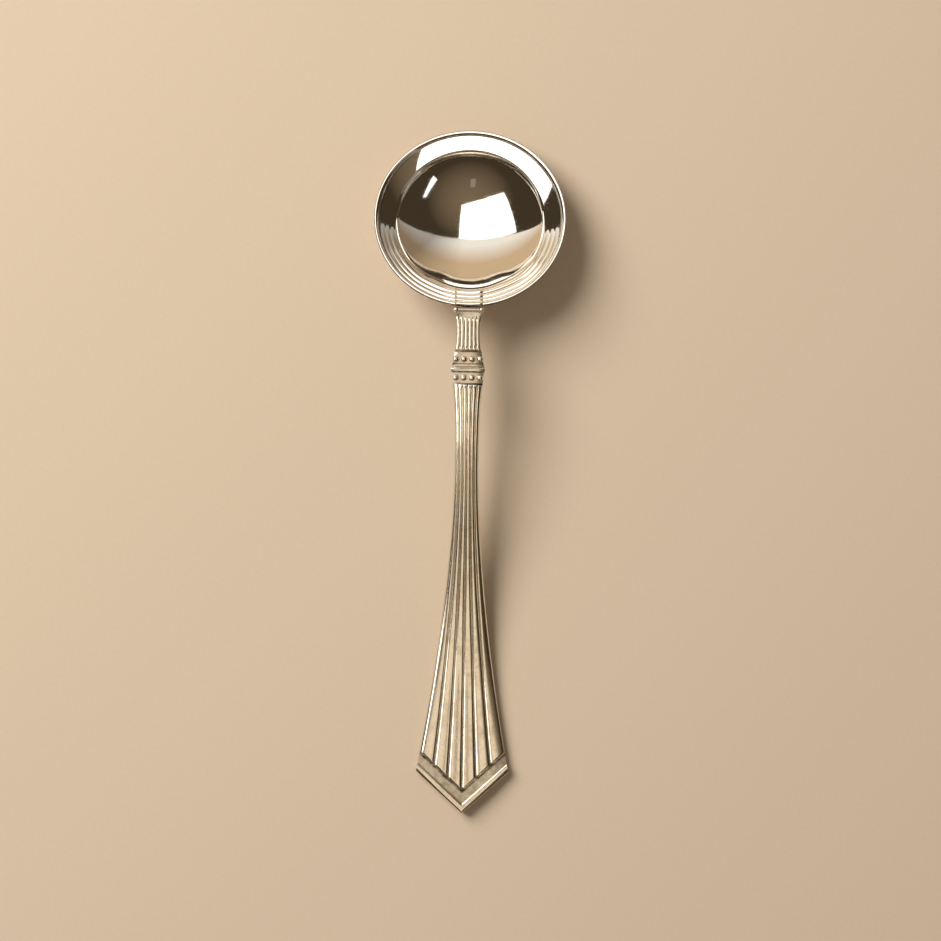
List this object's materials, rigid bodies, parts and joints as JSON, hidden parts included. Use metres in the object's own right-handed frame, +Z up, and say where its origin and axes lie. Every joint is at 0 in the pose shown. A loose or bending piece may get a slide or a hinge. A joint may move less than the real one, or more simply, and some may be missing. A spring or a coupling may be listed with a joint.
{
  "type": "sauce ladle",
  "caption": "Silver sauce ladle: oval basin in a wide reeded flange, beaded collar, and a hollow reeded handle fanning to a chevron tip.",
  "frame": {"origin": "centre of the ladle's outline as it lies, on the table", "axes": "+Y from the handle's tip to the bowl, +X across, +Z up with the bowl open upwards"},
  "size_m": [0.05, 0.18, 0.0177],
  "materials": {
    "polished_silver": "mirror-polished silver, warm, faintly scratched",
    "worn_silver": "polished silver dulled by handling",
    "oxidised_silver": "silver left darkened around the raised beads",
    "resin_cement": "brown resin filling inside the hollow handle"
  },
  "bodies": {
    "root": {"bowl": "polished_silver", "rim_wire": "polished_silver", "rim_saddle": "polished_silver", "shoulder_bar": "polished_silver", "bowl_heel": "polished_silver", "neck_and_tang": "worn_silver", "collar_ring": "worn_silver", "handle_front_shell": "worn_silver", "handle_back_shell": "worn_silver", "tip_moulding": "worn_silver", "upper_bead_1": "worn_silver", "upper_bead_2": "worn_silver", "upper_bead_3": "worn_silver", "upper_bead_4": "worn_silver", "lower_bead_1": "worn_silver", "lower_bead_2": "worn_silver", "lower_bead_3": "worn_silver", "lower_bead_4": "worn_silver", "upper_collar_band": "oxidised_silver", "lower_collar_band": "oxidised_silver", "handle_cement": "resin_cement"}
  },
  "joints": []
}
